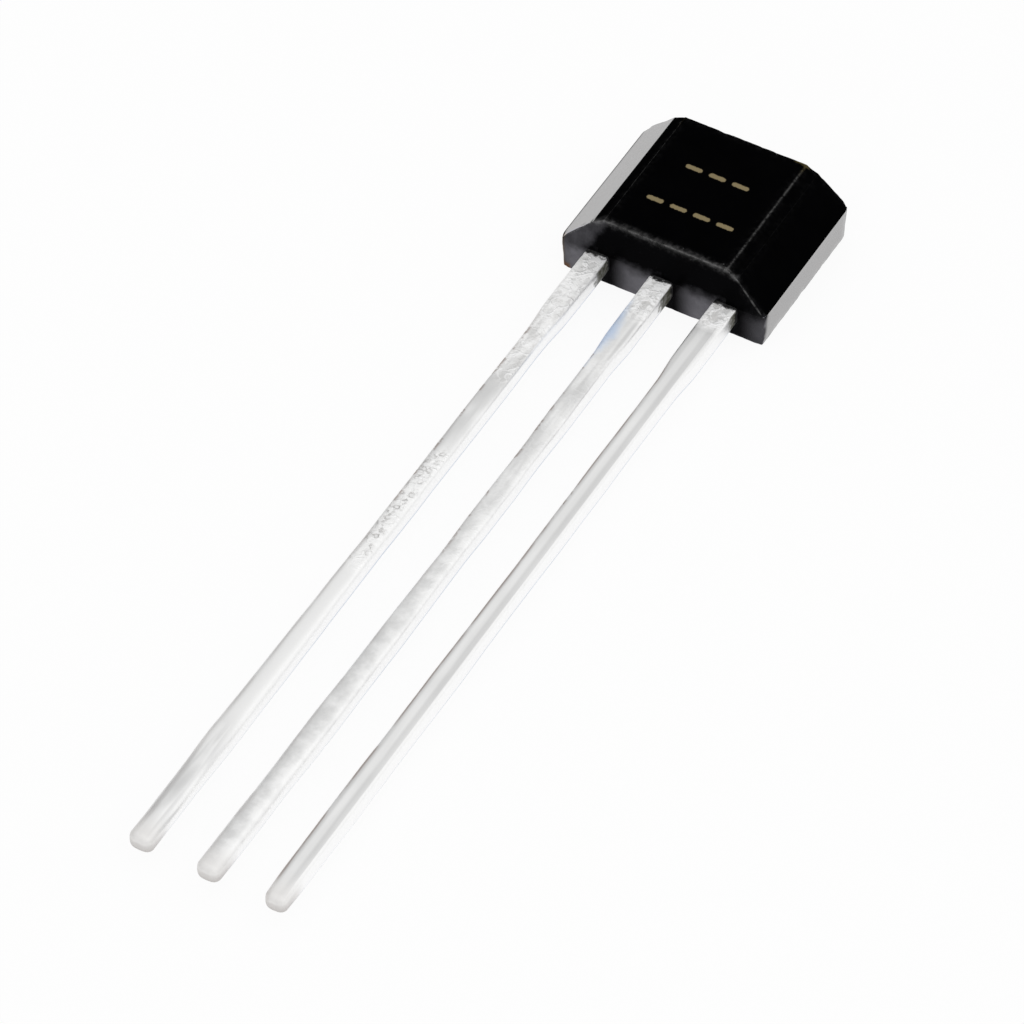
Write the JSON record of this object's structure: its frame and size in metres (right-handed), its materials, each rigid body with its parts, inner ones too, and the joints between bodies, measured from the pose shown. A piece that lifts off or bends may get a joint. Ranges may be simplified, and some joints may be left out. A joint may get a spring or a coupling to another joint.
{
  "type": "hall effect sensor",
  "caption": "Magnetic field sensor in a flat black moulded package with bevelled sides and a row of long straight tinned leads, lying on its back.",
  "frame": {"origin": "centre of the package's flat back face, which lies on the surface below", "axes": "+X along the row of leads, from the supply lead to the output lead; the leads point to -Y; +Z out of the marked face"},
  "size_m": [0.004, 0.0184, 0.0015],
  "materials": {
    "moulding_compound": "satin",
    "tinned_copper": "satin",
    "silver_adhesive": "matte",
    "silicon": "gloss",
    "gold_wire": "polished"
  },
  "bodies": {
    "root": {"moulded_body": "moulding_compound", "lead_supply": "tinned_copper", "lead_ground": "tinned_copper", "lead_output": "tinned_copper", "die_attach": "silver_adhesive", "hall_die": "silicon", "bond_wire_supply": "gold_wire", "bond_wire_ground": "gold_wire", "bond_wire_output": "gold_wire"}
  },
  "joints": []
}
